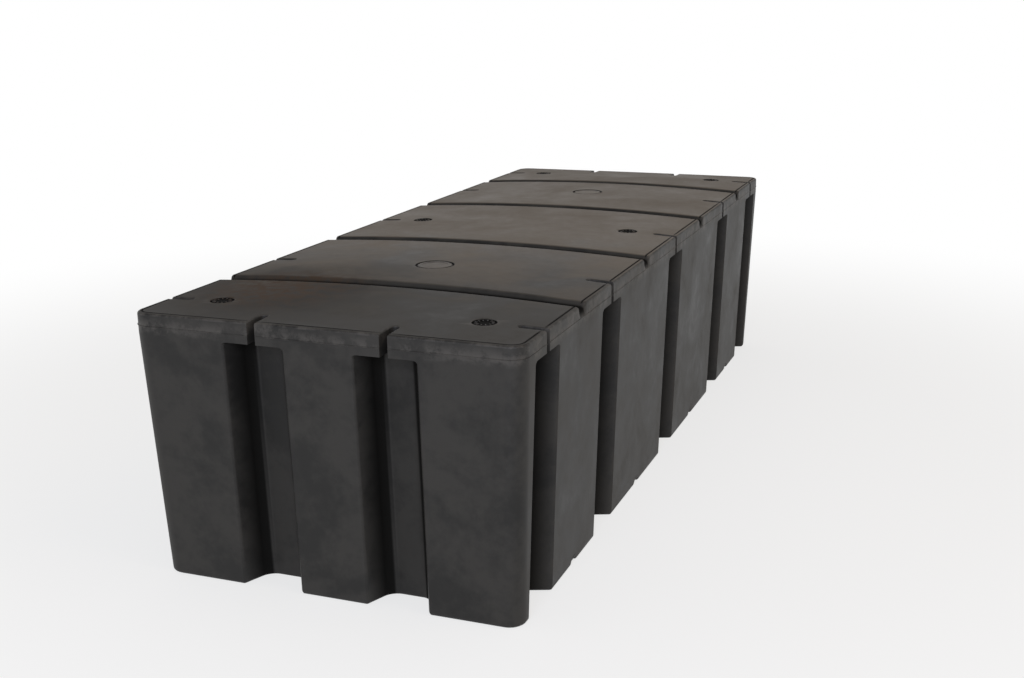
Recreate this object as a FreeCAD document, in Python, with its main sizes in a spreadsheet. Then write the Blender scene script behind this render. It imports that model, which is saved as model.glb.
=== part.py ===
import FreeCAD, Part
import math
import os
import Sketcher

# Foam-filled dock float drum, moulded in one piece, with its two large and six
# small spin-welded plugs. Origin at the middle of the foot, long axis along Y,
# the end nearest the viewer toward -Y, +Z up. All sizes in millimetres.

SIZES = {
    "overall_length": 2438.4,      # end rib to end rib
    "overall_width": 914.4,        # side rib to side rib
    "rim_height": 620.0,           # foot to the deck's outer edge
    "deck_crown": 15.0,            # rise of the deck's middle line above its edge
    "rim_depth": 48.0,             # upright flange band around the deck
    "corner_radius": 38.0,         # upright corners of flange and wall
    "rim_edge_radius": 6.0,        # rounding of the deck's outer edge
    "foot_inset": 20.0,            # draft of the wall, taken at the foot
    "foot_edge_radius": 8.0,       # rounding along the foot
    "rib_proud": 1.2,              # parting rib, out from the flange
    "rib_band": 2.6,               # parting rib, upright size
    "rib_drop": 29.0,              # parting rib below the deck's outer edge
    "slot_width": 19.0,
    "slot_reach": 65.0,            # flange face to the slot's round inner end
    "end_bay": 147.2,              # end of the drum to its outermost side slots
    "side_slot_inner": 617.0,      # inner slots along the sides, from the middle
    "end_slot_offset": 154.5,      # slots of the ends, from the middle
    "flute_mouth": 146.0,          # upright flute under each slot, at the wall
    "flute_back": 92.0,            # its back, between the sharp corners
    "flute_depth": 70.0,
    "flute_corner_radius": 30.0,
    "flute_mouth_radius": 12.0,    # rounding of the pillars' upright edges
    "flute_lip_angle": 12.0,       # degrees at which that rounding meets the wall
    "flute_top_radius": 9.0,       # rounding under the flange
    "groove_width": 58.0,          # strap grooves, midway between the side slots
    "groove_floor": 26.0,
    "groove_depth": 13.0,
    "groove_bend": 6.0,
    "notch_cut": 8.0,              # strap notch over the deck's outer edge
    "notch_corner": 5.0,
    "foot_groove_width": 48.0,
    "foot_groove_floor": 30.0,
    "foot_groove_depth": 10.5,
    "crease_inset": 8.5,           # fine crease just inside the deck's outer edge
    "crease_width": 4.0,
    "crease_depth": 2.8,
    "large_recess": 96.0,          # large plugs lie between the inner slots
    "large_recess_depth": 5.0,
    "large_head": 84.0,
    "large_head_height": 4.4,
    "large_shank": 70.0,
    "large_shank_length": 22.0,
    "large_tooth_count": 24.0,     # webs around the large head, in its ring groove
    "large_tooth_reach": 3.6,
    "large_tooth_height": 3.2,
    "small_plug_inset": 141.2,     # side of the drum to the small plugs
    "small_recess": 54.0,
    "small_recess_depth": 5.0,
    "small_head": 46.0,
    "small_head_height": 2.6,
    "small_shank": 36.0,
    "small_shank_length": 18.0,
    "small_tooth_count": 12.0,     # drive ribs raised on the small head
    "small_tooth_reach": 6.0,
    "small_tooth_height": 1.6,
    "tooth_width": 2.4,
    "tooth_inset": 1.5,            # overlap of a web, or set-back of a rib, at the edge
    "head_edge_radius": 1.0,
    "plug_clearance": 0.4,         # around and under each shank
    "cut_margin": 20.0,            # how far a cutting profile runs past the drum
}

# The crown rises from the two straight ends to its full height: how far in
# from the end each deck section stands, and its share of the full crown. One
# section stands at the outermost slots, where the small plugs are.
CROWN_STATIONS = (
    (-20.0, 0.02),
    (60.0, 0.20),
    (SIZES["end_bay"], 0.58),
    (250.0, 0.88),
    (380.0, 1.0),
    (760.0, 1.0),
)

os.makedirs("parts", exist_ok=True)
doc = FreeCAD.newDocument("dock_float_drum")

sheet = doc.addObject("Spreadsheet::Sheet", "Sizes")
for row, (name, value) in enumerate(SIZES.items(), start=1):
    sheet.set(f"A{row}", name)
    sheet.set(f"B{row}", str(value))
    sheet.setAlias(f"B{row}", name)
doc.recompute()


def size(name):
    return float(sheet.get(name))


half_length = size("overall_length") / 2
half_width = size("overall_width") / 2
face_x = half_width - size("rib_proud")
face_y = half_length - size("rib_proud")
wall_height = size("rim_height") - size("rim_depth")
slot_inner = size("side_slot_inner")
slot_outer = half_length - size("end_bay")
deck_top = size("rim_height") + size("deck_crown")
margin = size("cut_margin")
above = deck_top + margin

FACE_X = "(Sizes.overall_width / 2 - Sizes.rib_proud)"
FACE_Y = "(Sizes.overall_length / 2 - Sizes.rib_proud)"
SLOT_OUTER = "(Sizes.overall_length / 2 - Sizes.end_bay)"
WALL_HEIGHT = "(Sizes.rim_height - Sizes.rim_depth)"
ABOVE = "(Sizes.rim_height + Sizes.deck_crown + Sizes.cut_margin)"
START, END = 1, 2
AXIS = -1


def new_body(name):
    body = doc.addObject("PartDesign::Body", name)
    body.Label = name
    return body


def origin_plane(body, role):
    for item in body.Origin.OriginFeatures:
        if item.Role == role:
            return item
    raise ValueError(role)


def new_sketch(body, name, role, height=None):
    sketch = body.newObject("Sketcher::SketchObject", name)
    sketch.AttachmentSupport = [(origin_plane(body, role), "")]
    sketch.MapMode = "FlatFace"
    if height is not None:
        sketch.setExpression("AttachmentOffset.Base.z", height)
    return sketch


def corner_cut(before, here, after, radius):
    # Where the rounding of one corner starts and ends, and its middle point.
    inward = (before - here).normalize()
    onward = (after - here).normalize()
    half_angle = inward.getAngle(onward) / 2
    reach = radius / math.tan(half_angle)
    bisector = (inward + onward).normalize()
    centre = here + bisector * (radius / math.sin(half_angle))
    return here + inward * reach, centre - bisector * radius, here + onward * reach


def draw_outline(sketch, corners):
    # A closed outline from (x, y, radius) corners; a radius of 0 stays sharp.
    points = [FreeCAD.Vector(x, y, 0) for x, y, radius in corners]
    cuts = []
    for index, (x, y, radius) in enumerate(corners):
        here = points[index]
        if radius > 0:
            after = points[(index + 1) % len(points)]
            cuts.append(corner_cut(points[index - 1], here, after, radius))
        else:
            cuts.append((here, None, here))
    lines = []
    arcs = []
    for index in range(len(points)):
        begin = cuts[index][2]
        finish = cuts[(index + 1) % len(points)][0]
        lines.append(sketch.addGeometry(Part.LineSegment(begin, finish), False))
    for index, (begin, middle, finish) in enumerate(cuts):
        if middle is None:
            arcs.append(None)
        else:
            arcs.append(sketch.addGeometry(Part.Arc(begin, middle, finish), False))
    joints = []
    for index, arc in enumerate(arcs):
        incoming = lines[index - 1]
        outgoing = lines[index]
        if arc is None:
            joints.append(Sketcher.Constraint("Coincident", incoming, END, outgoing, START))
            continue
        for line, line_end, x_y in ((incoming, END, cuts[index][0]), (outgoing, START, cuts[index][2])):
            begin_gap = (sketch.getPoint(arc, START) - x_y).Length
            finish_gap = (sketch.getPoint(arc, END) - x_y).Length
            arc_end = START if begin_gap < finish_gap else END
            joints.append(Sketcher.Constraint("Tangent", line, line_end, arc, arc_end))
    sketch.addConstraint(joints)
    return lines, arcs


def bind(sketch, constraint, expression):
    index = sketch.addConstraint(constraint)
    sketch.setExpression(f"Constraints[{index}]", expression)
    return index


def place_point(sketch, geometry, end, x, y, x_expression, y_expression):
    # Ties a point to the origin; a zero offset is a point on the axis.
    if x_expression is not None:
        bind(sketch, Sketcher.Constraint("DistanceX", AXIS, START, geometry, end, x), x_expression)
    if y_expression is not None:
        bind(sketch, Sketcher.Constraint("DistanceY", AXIS, START, geometry, end, y), y_expression)


def draw_plan(sketch, half_x, half_y, radius, x_expression, y_expression, radius_expression):
    # The drum's plan: a rectangle about the origin with four equal corners.
    corners = (
        (-half_x, -half_y, radius),
        (half_x, -half_y, radius),
        (half_x, half_y, radius),
        (-half_x, half_y, radius),
    )
    lines, arcs = draw_outline(sketch, corners)
    squares = []
    for index, line in enumerate(lines):
        direction = "Horizontal" if index % 2 == 0 else "Vertical"
        squares.append(Sketcher.Constraint(direction, line))
    for arc in arcs[1:]:
        squares.append(Sketcher.Constraint("Equal", arcs[0], arc))
    sketch.addConstraint(squares)
    place_point(sketch, lines[1], START, half_x, None, x_expression, None)
    place_point(sketch, lines[3], START, -half_x, None, f"-{x_expression}", None)
    place_point(sketch, lines[2], START, None, half_y, None, y_expression)
    place_point(sketch, lines[0], START, None, -half_y, None, f"-{y_expression}")
    bind(sketch, Sketcher.Constraint("Radius", arcs[0], radius), radius_expression)


def draw_circle(sketch, x, y, diameter, x_expression, y_expression, diameter_expression):
    circle = Part.Circle(FreeCAD.Vector(x, y, 0), FreeCAD.Vector(0, 0, 1), diameter / 2)
    index = sketch.addGeometry(circle, False)
    bind(sketch, Sketcher.Constraint("Diameter", index, diameter), diameter_expression)
    place_point(sketch, index, 3, x, y, x_expression, y_expression)


def add_feature(body, kind, name, profile):
    feature = body.newObject(kind, name)
    feature.Profile = profile
    return feature


def volume_after(body):
    doc.recompute()
    return body.Shape.Volume


def must_shrink(body, before, name):
    after = volume_after(body)
    if not after < before - 1:
        raise ValueError(f"{name} removed nothing")
    return after


def shell_blank(body):
    # Drafted wall, flange band and crowned deck, before anything is cut.
    foot = new_sketch(body, "foot_plan", "XY_Plane")
    radius = size("corner_radius")
    inset = size("foot_inset")
    draw_plan(foot, face_x - inset, face_y - inset, radius,
              f"({FACE_X} - Sizes.foot_inset)", f"({FACE_Y} - Sizes.foot_inset)",
              "Sizes.corner_radius")
    top = new_sketch(body, "wall_plan", "XY_Plane", WALL_HEIGHT)
    draw_plan(top, face_x, face_y, radius, FACE_X, FACE_Y, "Sizes.corner_radius")
    doc.recompute()
    wall = add_feature(body, "PartDesign::AdditiveLoft", "wall", foot)
    wall.Sections = [(top, "")]
    wall.Ruled = True
    band = new_sketch(body, "band_plan", "XY_Plane", WALL_HEIGHT)
    draw_plan(band, face_x, face_y, radius, FACE_X, FACE_Y, "Sizes.corner_radius")
    flange = add_feature(body, "PartDesign::Pad", "flange", band)
    flange.setExpression("Length", f"{ABOVE} - {WALL_HEIGHT}")
    doc.recompute()


def crown_sections(body):
    # Sections of the space above the deck; their lower sides are flat arcs.
    stations = [(half_length - inset, share) for inset, share in CROWN_STATIONS]
    stations = stations + [(0.0, 1.0)] + [(-y, share) for y, share in reversed(stations)]
    outer_x = half_width + margin
    sketches = []
    for number, (y, share) in enumerate(stations):
        sketch = new_sketch(body, f"crown_section_{number}", "XZ_Plane")
        sketch.AttachmentOffset = FreeCAD.Placement(FreeCAD.Vector(0, 0, -y), FreeCAD.Rotation())
        rise = size("deck_crown") * share
        edge_z = size("rim_height") - rise * ((outer_x / half_width) ** 2 - 1)
        middle_z = size("rim_height") + rise
        left = FreeCAD.Vector(-outer_x, edge_z, 0)
        right = FreeCAD.Vector(outer_x, edge_z, 0)
        top_left = FreeCAD.Vector(-outer_x, above + margin, 0)
        top_right = FreeCAD.Vector(outer_x, above + margin, 0)
        crest = FreeCAD.Vector(0, middle_z, 0)
        sketch.addGeometry([
            Part.Arc(left, crest, right),
            Part.LineSegment(right, top_right),
            Part.LineSegment(top_right, top_left),
            Part.LineSegment(top_left, left),
        ], False)
        sketches.append(sketch)
    doc.recompute()
    return sketches


def crown_deck(body):
    before = volume_after(body)
    sketches = crown_sections(body)
    space = add_feature(body, "PartDesign::SubtractiveLoft", "deck_crown_cut", sketches[0])
    space.Sections = [(sketch, "") for sketch in sketches[1:]]
    must_shrink(body, before, "deck_crown_cut")


def edges_where(shape, test):
    names = []
    for index, edge in enumerate(shape.Edges, start=1):
        if test(edge):
            names.append(f"Edge{index}")
    return names


def round_edges(body, name, radius_expression, test):
    base = body.Tip
    names = edges_where(base.Shape, test)
    if not names:
        raise ValueError(f"{name} found no edges")
    fillet = body.newObject("PartDesign::Fillet", name)
    fillet.Base = (base, names)
    fillet.setExpression("Radius", radius_expression)
    doc.recompute()
    if not fillet.isValid() or not fillet.Shape.isValid():
        raise ValueError(f"{name} failed on {len(names)} edges")


def on_rim_edge(edge):
    # The loop where the flange face meets the deck.
    box = edge.BoundBox
    low = size("rim_height") - 1
    if box.ZMin < low or box.ZMax > size("rim_height") + 1:
        return False
    middle = edge.valueAt((edge.FirstParameter + edge.LastParameter) / 2)
    inset = min(face_x - abs(middle.x), face_y - abs(middle.y))
    return inset < size("corner_radius") / 2


def parting_rib(body):
    drop = "(Sizes.rim_height - Sizes.rib_drop - Sizes.rib_band / 2)"
    plan = new_sketch(body, "rib_plan", "XY_Plane", drop)
    draw_plan(plan, half_width, half_length, size("corner_radius") + size("rib_proud"),
              "(Sizes.overall_width / 2)", "(Sizes.overall_length / 2)",
              "Sizes.corner_radius + Sizes.rib_proud")
    rib = add_feature(body, "PartDesign::Pad", "parting_rib", plan)
    rib.setExpression("Length", "Sizes.rib_band")
    doc.recompute()


def flute_corners():
    # One flute in plan: (along the wall, in from the wall, radius). The mouth's
    # rounding meets the wall at a slight angle, so the two never just touch.
    mouth = size("flute_mouth") / 2
    back = size("flute_back") / 2
    radius = size("flute_mouth_radius")
    lip_drop = margin * math.tan(math.radians(size("flute_lip_angle")))
    outer = mouth + margin + lip_drop
    half = [
        (outer, -margin - radius, 0),
        (outer, -lip_drop, 0),
        (mouth, 0, radius),
        (back, size("flute_depth"), size("flute_corner_radius")),
    ]
    mirrored = [(-u, v, r) for u, v, r in reversed(half)]
    return half + mirrored


def flute_tool(body, name, side, along):
    # A flute follows the draft of its wall from under the flange to the foot.
    sketch = new_sketch(body, f"{name}_plan", "XY_Plane", WALL_HEIGHT)
    corners = []
    for u, v, radius in flute_corners():
        if side == "side":
            corners.append((face_x - v, along + u, radius))
        else:
            corners.append((along - u, face_y - v, radius))
    draw_outline(sketch, corners)
    doc.recompute()
    pocket = add_feature(body, "PartDesign::Pocket", name, sketch)
    pocket.setExpression("Length", f"{WALL_HEIGHT} + Sizes.cut_margin")
    pocket.UseCustomVector = True
    pocket.AlongSketchNormal = True
    drift = size("foot_inset") / wall_height
    if side == "side":
        pocket.Direction = FreeCAD.Vector(-drift, 0, -1)
    else:
        pocket.Direction = FreeCAD.Vector(0, -drift, -1)
    return pocket


def mirror_both_ways(body, originals, name, roles):
    transform = body.newObject("PartDesign::MultiTransform", name)
    transform.Originals = originals
    mirrors = []
    for role in roles:
        mirror = doc.addObject("PartDesign::Mirrored", f"{name}_{role.lower()}")
        mirror.MirrorPlane = (origin_plane(body, role), [""])
        mirrors.append(mirror)
    transform.Transformations = mirrors
    body.Tip = transform
    doc.recompute()
    return transform


def flutes(body):
    before = volume_after(body)
    middle = flute_tool(body, "side_flute_middle", "side", 0.0)
    inner = flute_tool(body, "side_flute_inner", "side", slot_inner)
    outer = flute_tool(body, "side_flute_outer", "side", slot_outer)
    end = flute_tool(body, "end_flute", "end", size("end_slot_offset"))
    doc.recompute()
    mirror_both_ways(body, [inner, outer, end], "flutes_all_round", ("XZ_Plane", "YZ_Plane"))
    mirror_both_ways(body, [middle], "middle_flutes", ("YZ_Plane",))
    must_shrink(body, before, "flutes")


def on_foot(edge):
    box = edge.BoundBox
    return box.ZMax < 1


def under_flange(edge):
    box = edge.BoundBox
    if box.ZMin < wall_height - 1 or box.ZMax > wall_height + 1:
        return False
    middle = edge.valueAt((edge.FirstParameter + edge.LastParameter) / 2)
    inset = min(face_x - abs(middle.x), face_y - abs(middle.y))
    return inset > 1


def slots(body):
    before = volume_after(body)
    sketch = new_sketch(body, "slot_plans", "XY_Plane", ABOVE)
    end_offset = size("end_slot_offset")
    side_places = (
        (0.0, "0 mm"),
        (slot_inner, "Sizes.side_slot_inner"),
        (-slot_inner, "-Sizes.side_slot_inner"),
        (slot_outer, SLOT_OUTER),
        (-slot_outer, f"-{SLOT_OUTER}"),
    )
    end_places = (
        (end_offset, "Sizes.end_slot_offset"),
        (-end_offset, "-Sizes.end_slot_offset"),
    )
    for sign in (1, -1):
        for along, expression in side_places:
            draw_slot(sketch, "side", sign, along, expression)
        for along, expression in end_places:
            draw_slot(sketch, "end", sign, along, expression)
    doc.recompute()
    cut = add_feature(body, "PartDesign::Pocket", "slots", sketch)
    cut.setExpression("Length", "Sizes.cut_margin * 2 + Sizes.deck_crown + Sizes.rim_depth")
    must_shrink(body, before, "slots")


def draw_slot(sketch, side, sign, along, expression):
    # A slot in plan, open at the flange face, round at its inner end.
    half = size("slot_width") / 2
    reach = size("slot_reach")
    face = face_x if side == "side" else face_y
    outer = sign * (face + margin)
    inner = sign * (face - reach + half)
    tip = sign * (face - reach)

    def at(across, offset):
        if side == "side":
            return FreeCAD.Vector(across, along + offset, 0)
        return FreeCAD.Vector(along + offset, across, 0)

    low = sketch.addGeometry(Part.LineSegment(at(outer, -half), at(inner, -half)), False)
    bend = sketch.addGeometry(Part.Arc(at(inner, -half), at(tip, 0), at(inner, half)), False)
    high = sketch.addGeometry(Part.LineSegment(at(inner, half), at(outer, half)), False)
    cap = sketch.addGeometry(Part.LineSegment(at(outer, half), at(outer, -half)), False)
    begin_gap = (sketch.getPoint(bend, START) - at(inner, -half)).Length
    first, last = (START, END) if begin_gap < half else (END, START)
    sketch.addConstraint([
        Sketcher.Constraint("Tangent", low, END, bend, first),
        Sketcher.Constraint("Tangent", bend, last, high, START),
        Sketcher.Constraint("Coincident", high, END, cap, START),
        Sketcher.Constraint("Coincident", cap, END, low, START),
        Sketcher.Constraint("Vertical" if side == "side" else "Horizontal", cap),
    ])
    bind(sketch, Sketcher.Constraint("Radius", bend, half), "Sizes.slot_width / 2")
    face_expression = FACE_X if side == "side" else FACE_Y
    centre = f"({face_expression} - Sizes.slot_reach + Sizes.slot_width / 2)"
    if sign < 0:
        centre = f"-{centre}"
    if side == "side":
        place_point(sketch, bend, 3, inner, along, centre, expression)
    else:
        place_point(sketch, bend, 3, along, inner, expression, centre)


def groove_positions():
    # Midway between neighbouring side slots.
    inner = slot_inner / 2
    outer = (slot_inner + slot_outer) / 2
    return (-outer, -inner, inner, outer)


def trough_corners(y, top, floor, surface, depth, bend, lift):
    # A shallow trough in an upright section along the drum.
    slope = (top - floor) / 2 / depth
    flare = lift * slope
    return (
        (y - top / 2 - flare, surface + lift, 0),
        (y - floor / 2, surface - depth, bend),
        (y + floor / 2, surface - depth, bend),
        (y + top / 2 + flare, surface + lift, 0),
    )


def strap_grooves(body):
    # Turned about the crown's own axis, so each floor follows the deck.
    before = volume_after(body)
    rise = size("deck_crown")
    crown_radius = (half_width ** 2 + rise ** 2) / (2 * rise)
    sketch = new_sketch(body, "strap_groove_sections", "YZ_Plane")
    for y in groove_positions():
        corners = trough_corners(y, size("groove_width"), size("groove_floor"), deck_top,
                                 size("groove_depth"), size("groove_bend"), margin / 2)
        draw_outline(sketch, corners)
    axis_z = deck_top - crown_radius
    axis = Part.LineSegment(FreeCAD.Vector(-margin, axis_z, 0), FreeCAD.Vector(margin, axis_z, 0))
    sketch.addGeometry(axis, True)
    doc.recompute()
    groove = add_feature(body, "PartDesign::Groove", "strap_grooves", sketch)
    groove.ReferenceAxis = (sketch, ["Axis0"])
    groove.Angle = math.degrees(2 * math.asin((half_width + margin) / crown_radius))
    groove.Midplane = True
    must_shrink(body, before, "strap_grooves")


def strap_notches(body):
    # Where a strap turns down over the flange: deepest at the edge, gone at
    # the parting rib.
    before = volume_after(body)
    sketch = new_sketch(body, "strap_notch_plans", "XY_Plane", "Sizes.rim_height")
    half = size("groove_width") / 2
    corner = size("notch_corner")
    for sign in (1, -1):
        inner = sign * (face_x - size("notch_cut"))
        outer = sign * (face_x + margin)
        for y in groove_positions():
            corners = ((outer, y - half, 0), (inner, y - half, corner),
                       (inner, y + half, corner), (outer, y + half, 0))
            draw_outline(sketch, corners)
    doc.recompute()
    notch = add_feature(body, "PartDesign::Pocket", "strap_notches", sketch)
    notch.setExpression("Length", "Sizes.rib_drop")
    notch.TaperAngle = -math.degrees(math.atan2(size("notch_cut"), size("rib_drop")))
    must_shrink(body, before, "strap_notches")


def foot_grooves(body):
    before = volume_after(body)
    sketch = new_sketch(body, "foot_groove_sections", "YZ_Plane")
    depth = size("foot_groove_depth")
    top = size("foot_groove_width")
    floor = size("foot_groove_floor")
    for y in groove_positions():
        corners = trough_corners(y, top, floor, 0, depth, size("groove_bend"), margin / 2)
        draw_outline(sketch, [(u, -v, radius) for u, v, radius in corners])
    doc.recompute()
    groove = add_feature(body, "PartDesign::Pocket", "foot_grooves", sketch)
    groove.Midplane = True
    groove.setExpression("Length", "Sizes.overall_width + 2 * Sizes.cut_margin")
    must_shrink(body, before, "foot_grooves")


def edge_crease(body):
    # Two plans, one inside the other, leave a narrow ring to be cut.
    before = volume_after(body)
    sketch = new_sketch(body, "crease_plan", "XY_Plane", ABOVE)
    inset = size("crease_inset")
    width = size("crease_width")
    radius = size("corner_radius")
    draw_plan(sketch, face_x - inset, face_y - inset, radius - inset,
              f"({FACE_X} - Sizes.crease_inset)", f"({FACE_Y} - Sizes.crease_inset)",
              "Sizes.corner_radius - Sizes.crease_inset")
    inner = inset + width
    draw_plan(sketch, face_x - inner, face_y - inner, radius - inner,
              f"({FACE_X} - Sizes.crease_inset - Sizes.crease_width)",
              f"({FACE_Y} - Sizes.crease_inset - Sizes.crease_width)",
              "Sizes.corner_radius - Sizes.crease_inset - Sizes.crease_width")
    doc.recompute()
    crease = add_feature(body, "PartDesign::Pocket", "edge_crease", sketch)
    crease.setExpression("Length", f"{ABOVE} - Sizes.rim_height + Sizes.crease_depth")
    must_shrink(body, before, "edge_crease")


def crown_share(y):
    inset = half_length - abs(y)
    for (near, low), (far, high) in zip(CROWN_STATIONS, CROWN_STATIONS[1:]):
        if near <= inset <= far:
            return low + (high - low) * (inset - near) / (far - near)
    return 1.0


def deck_height(x, y):
    rise = size("deck_crown") * crown_share(y)
    return round(size("rim_height") + rise * (1 - (x / half_width) ** 2), 2)


def plug_places():
    # Every plug: node name, kind, x, y and the height of the deck there.
    places = []
    for number, y in enumerate((-slot_inner, slot_inner), start=1):
        places.append((f"large_plug_{number}", "large", 0.0, y, deck_height(0.0, y)))
    number = 0
    aside = half_width - size("small_plug_inset")
    for y in (-slot_outer, 0.0, slot_outer):
        for x in (-aside, aside):
            number = number + 1
            places.append((f"small_plug_{number}", "small", x, y, deck_height(x, y)))
    return places


def plug_seats(body):
    # A round recess in the deck and a blind bore for the shank below it.
    groups = {}
    for name, kind, x, y, height in plug_places():
        groups.setdefault((kind, height), []).append((x, y))
    for number, ((kind, height), spots) in enumerate(groups.items(), start=1):
        floor = height - size(f"{kind}_recess_depth")
        before = volume_after(body)
        recess = new_sketch(body, f"{kind}_recess_plan_{number}", "XY_Plane", ABOVE)
        for x, y in spots:
            draw_circle(recess, x, y, size(f"{kind}_recess"), None, None, f"Sizes.{kind}_recess")
        doc.recompute()
        cut = add_feature(body, "PartDesign::Pocket", f"{kind}_recess_{number}", recess)
        cut.Length = above - floor
        before = must_shrink(body, before, "plug recess")
        bore = new_sketch(body, f"{kind}_bore_plan_{number}", "XY_Plane", ABOVE)
        clear = size("plug_clearance")
        for x, y in spots:
            draw_circle(bore, x, y, size(f"{kind}_shank") + 2 * clear, None, None,
                        f"Sizes.{kind}_shank + 2 * Sizes.plug_clearance")
        doc.recompute()
        deep = add_feature(body, "PartDesign::Pocket", f"{kind}_bore_{number}", bore)
        deep.Length = above - floor + size(f"{kind}_shank_length") + clear
        before = must_shrink(body, before, "plug bore")


def head_teeth(body, name, kind):
    # The large head carries webs out into its ring groove, the small head a
    # ring of raised drive ribs just inside its edge.
    base = f"Sizes.{kind}_shank_length"
    edge = size(f"{kind}_head") / 2
    half = size("tooth_width") / 2
    reach = size(f"{kind}_tooth_reach")
    inset = size("tooth_inset")
    if kind == "large":
        near, far = edge - inset, edge + reach
        height = "Sizes.large_tooth_height"
    else:
        near, far = edge - inset - reach, edge - inset
        height = "Sizes.small_head_height + Sizes.small_tooth_height"
    plan = new_sketch(body, f"{name}_tooth_plan", "XY_Plane", base)
    corners = ((near, -half, 0), (far, -half, 0), (far, half, 0), (near, half, 0))
    lines, arcs = draw_outline(plan, corners)
    plan.addConstraint([
        Sketcher.Constraint("Horizontal", lines[0]),
        Sketcher.Constraint("Horizontal", lines[2]),
        Sketcher.Constraint("Vertical", lines[3]),
        Sketcher.Constraint("Symmetric", lines[1], START, lines[1], END, AXIS),
    ])
    bind(plan, Sketcher.Constraint("Distance", lines[1], 2 * half), "Sizes.tooth_width")
    doc.recompute()
    tooth = add_feature(body, "PartDesign::Pad", f"{name}_tooth", plan)
    tooth.setExpression("Length", height)
    doc.recompute()
    ring = body.newObject("PartDesign::PolarPattern", f"{name}_teeth")
    ring.Originals = [tooth]
    ring.Axis = (origin_plane(body, "Z_Axis"), [""])
    ring.Angle = 360
    ring.Occurrences = int(size(f"{kind}_tooth_count"))
    body.Tip = ring
    doc.recompute()


def plug_body(name, kind, x, y, height):
    # A turned head and shank with a ring of small drive teeth on the head.
    body = new_body(name)
    floor = height - size(f"{kind}_recess_depth")
    shank = new_sketch(body, f"{name}_shank_plan", "XY_Plane")
    draw_circle(shank, 0, 0, size(f"{kind}_shank"), None, None, f"Sizes.{kind}_shank")
    head = new_sketch(body, f"{name}_head_plan", "XY_Plane", f"Sizes.{kind}_shank_length")
    draw_circle(head, 0, 0, size(f"{kind}_head"), None, None, f"Sizes.{kind}_head")
    doc.recompute()
    post = add_feature(body, "PartDesign::Pad", f"{name}_shank", shank)
    post.setExpression("Length", f"Sizes.{kind}_shank_length")
    disc = add_feature(body, "PartDesign::Pad", f"{name}_head", head)
    disc.setExpression("Length", f"Sizes.{kind}_head_height")
    doc.recompute()
    top = size(f"{kind}_shank_length") + size(f"{kind}_head_height")
    round_edges(body, f"{name}_head_edge", "Sizes.head_edge_radius",
                lambda edge: edge.BoundBox.ZMin > top - size("head_edge_radius") / 2)
    head_teeth(body, name, kind)
    body.Placement.Base = FreeCAD.Vector(x, y, floor - size(f"{kind}_shank_length"))
    doc.recompute()
    return body


shell = new_body("drum_shell")
shell_blank(shell)
crown_deck(shell)
round_edges(shell, "rim_edge", "Sizes.rim_edge_radius", on_rim_edge)
plug_seats(shell)
edge_crease(shell)
strap_grooves(shell)
strap_notches(shell)
parting_rib(shell)
flutes(shell)
round_edges(shell, "foot_edge", "Sizes.foot_edge_radius", on_foot)
round_edges(shell, "flute_top_edge", "Sizes.flute_top_radius", under_flange)
slots(shell)
foot_grooves(shell)

bodies = [shell]
for place in plug_places():
    bodies.append(plug_body(*place))

doc.recompute()
for item in doc.Objects:
    if "Invalid" in item.State or "Error" in item.State:
        raise ValueError(f"{item.Name}: {item.State}")

for body in bodies:
    if body.Shape.isNull() or not body.Shape.isValid():
        raise ValueError(body.Label)
    if len(body.Shape.Solids) != 1:
        raise ValueError(f"{body.Label} is not one solid")
    body.Shape.exportStep(f"parts/{body.Label}.step")
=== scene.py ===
import math

import bpy
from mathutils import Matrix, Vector


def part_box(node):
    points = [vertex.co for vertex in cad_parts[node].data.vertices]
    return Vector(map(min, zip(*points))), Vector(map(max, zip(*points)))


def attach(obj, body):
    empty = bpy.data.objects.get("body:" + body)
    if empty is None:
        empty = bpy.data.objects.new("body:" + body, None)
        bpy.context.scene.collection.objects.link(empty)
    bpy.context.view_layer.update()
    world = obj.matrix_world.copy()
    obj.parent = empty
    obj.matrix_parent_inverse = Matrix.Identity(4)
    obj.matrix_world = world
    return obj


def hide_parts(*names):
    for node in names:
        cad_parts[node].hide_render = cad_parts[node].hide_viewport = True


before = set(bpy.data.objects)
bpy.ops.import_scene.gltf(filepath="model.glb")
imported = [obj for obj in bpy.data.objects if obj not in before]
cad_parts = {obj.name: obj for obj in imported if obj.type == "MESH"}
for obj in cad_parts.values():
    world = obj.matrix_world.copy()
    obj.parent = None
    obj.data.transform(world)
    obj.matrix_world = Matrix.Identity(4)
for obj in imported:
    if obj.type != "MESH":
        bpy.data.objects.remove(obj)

bl_info = {
    "name": "Dock float drum",
    "version": (1, 0, 0),
    "blender": (4, 5, 0),
    "location": "View3D > Sidebar > Float Drum",
    "description": "Models, finishes and lights a foam-filled dock float drum",
    "category": "Object",
}

MM = 0.001
# Places closer than this count as one
NEAR = 0.1 * MM

PLUG_NODES = (
    "large_plug_1", "large_plug_2",
    "small_plug_1", "small_plug_2", "small_plug_3",
    "small_plug_4", "small_plug_5", "small_plug_6",
)

# Slots from the middle of the drum in mm, along the sides and across the ends
SIDE_SLOTS = (-1072.0, -617.0, 0.0, 617.0, 1072.0)
END_SLOTS = (-154.5, 154.5)

# Inset from the end of the drum in mm, and the crown's share there
CROWN_STATIONS = ((-20.0, 0.02), (60.0, 0.2), (147.2, 0.58), (250.0, 0.88), (380.0, 1.0))

# Mesh lines from the middle of a strap groove in mm, on the deck and on the foot
DECK_GROOVE_LINES = (0.0, 7.0, 12.0, 15.0, 18.0, 21.0, 24.0, 27.0, 30.0, 34.0)
FOOT_GROOVE_LINES = (0.0, 8.0, 12.0, 15.0, 18.0, 21.0, 24.0)

# Middle of the stain beside the near left plug, in metres
STAIN = (-0.24, -0.93, 0.62)

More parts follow.
